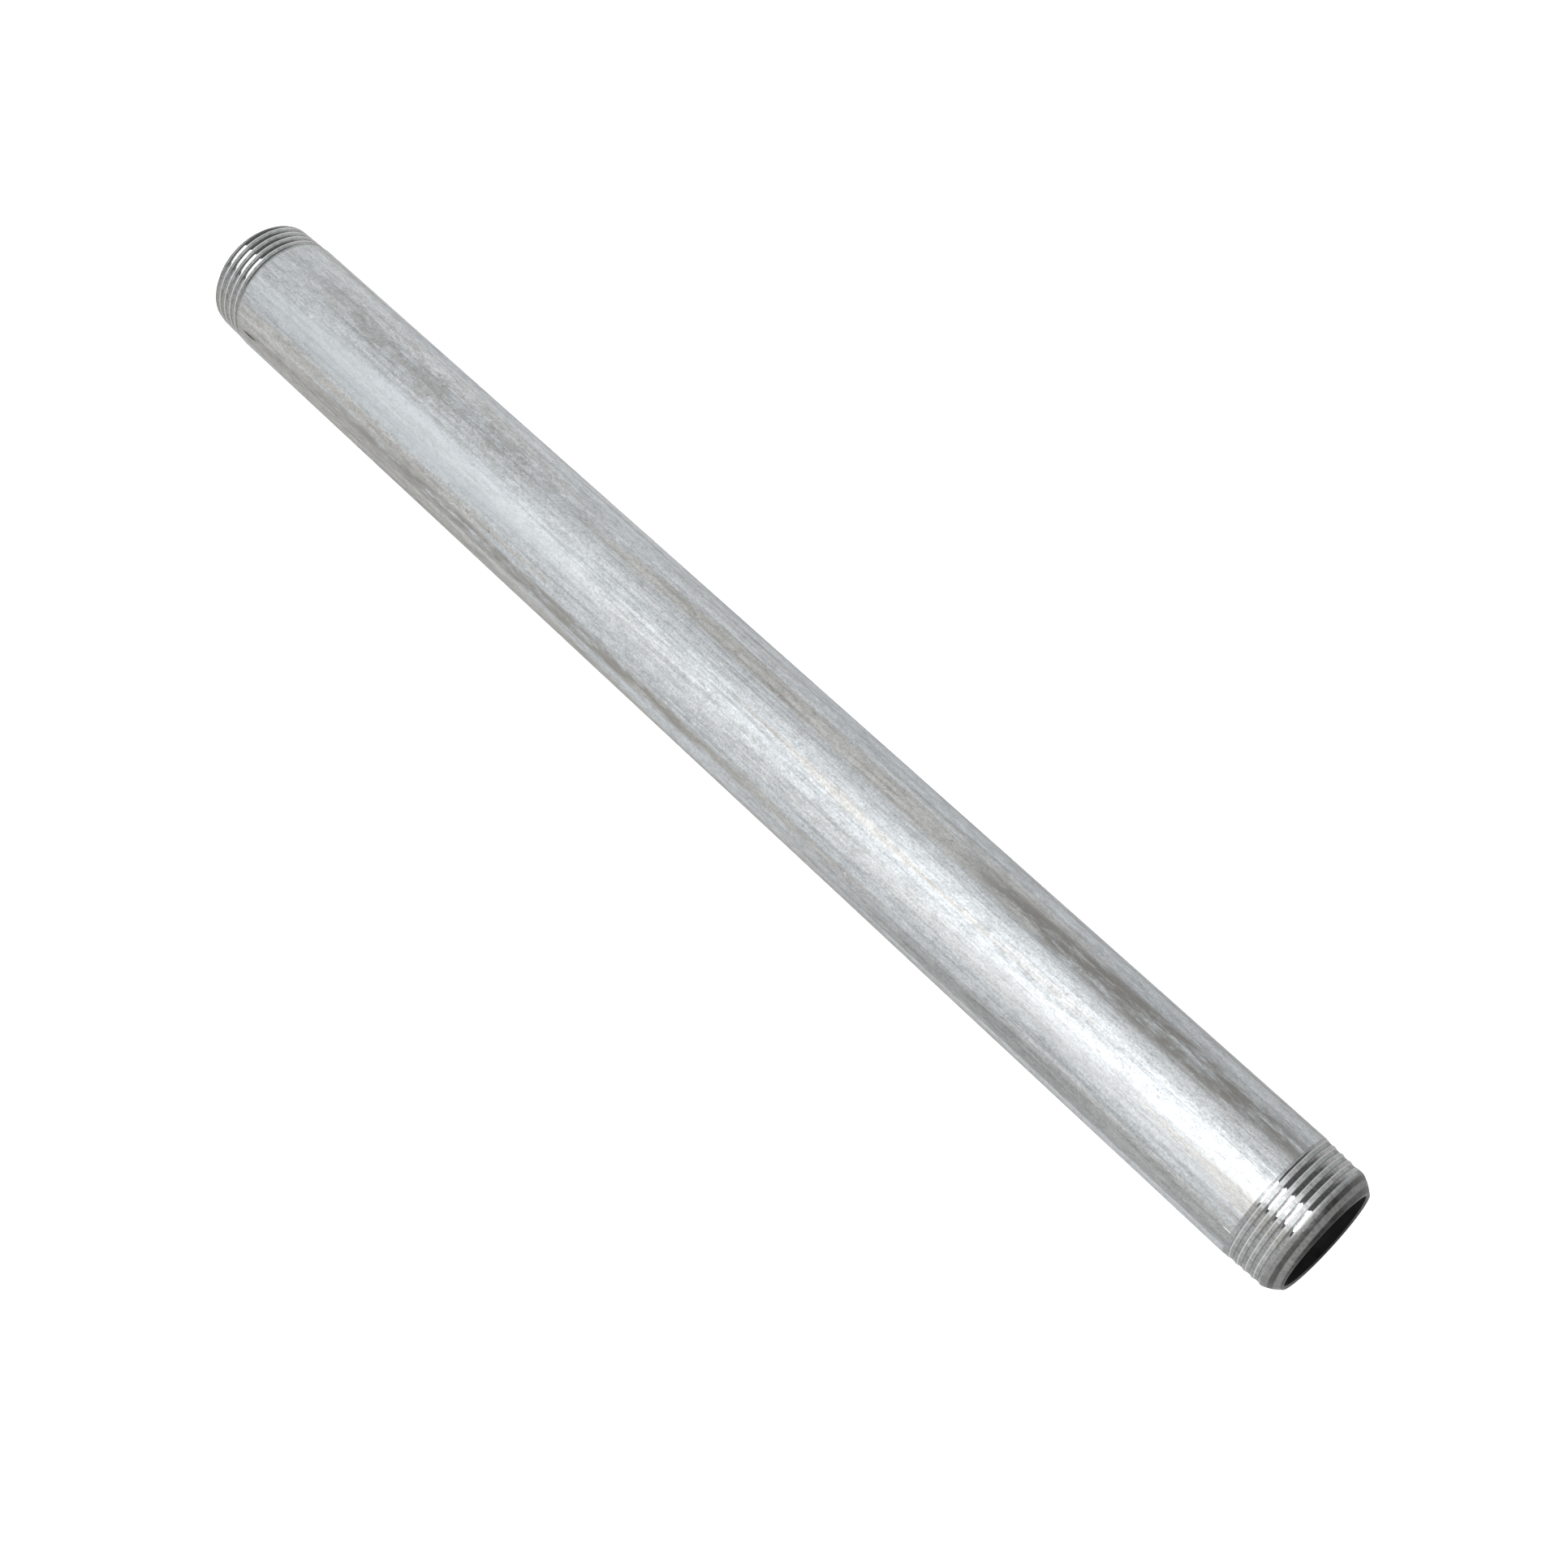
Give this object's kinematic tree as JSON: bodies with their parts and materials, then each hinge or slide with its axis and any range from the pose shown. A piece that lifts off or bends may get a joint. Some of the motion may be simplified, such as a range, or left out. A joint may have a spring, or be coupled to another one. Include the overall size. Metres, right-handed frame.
{
  "type": "threaded pipe nipple",
  "caption": "Straight galvanised steel pipe with a tapered right-hand pipe thread and a bevelled end at both ends.",
  "frame": {"origin": "on the pipe's axis at mid-length", "axes": "+X along the pipe's axis; the part is round, so +Z is any upright radius"},
  "size_m": [0.3048, 0.0268, 0.0268],
  "materials": {
    "bare_steel": "bright turned steel, bare where the threads and bevels are cut",
    "outer_zinc": "dull hot-dip zinc with lengthwise grey streaks",
    "inner_zinc": "dull hot-dip zinc"
  },
  "bodies": {
    "root": {"steel_pipe": "bare_steel", "outer_zinc_coat": "outer_zinc", "inner_zinc_coat": "inner_zinc"}
  },
  "joints": []
}
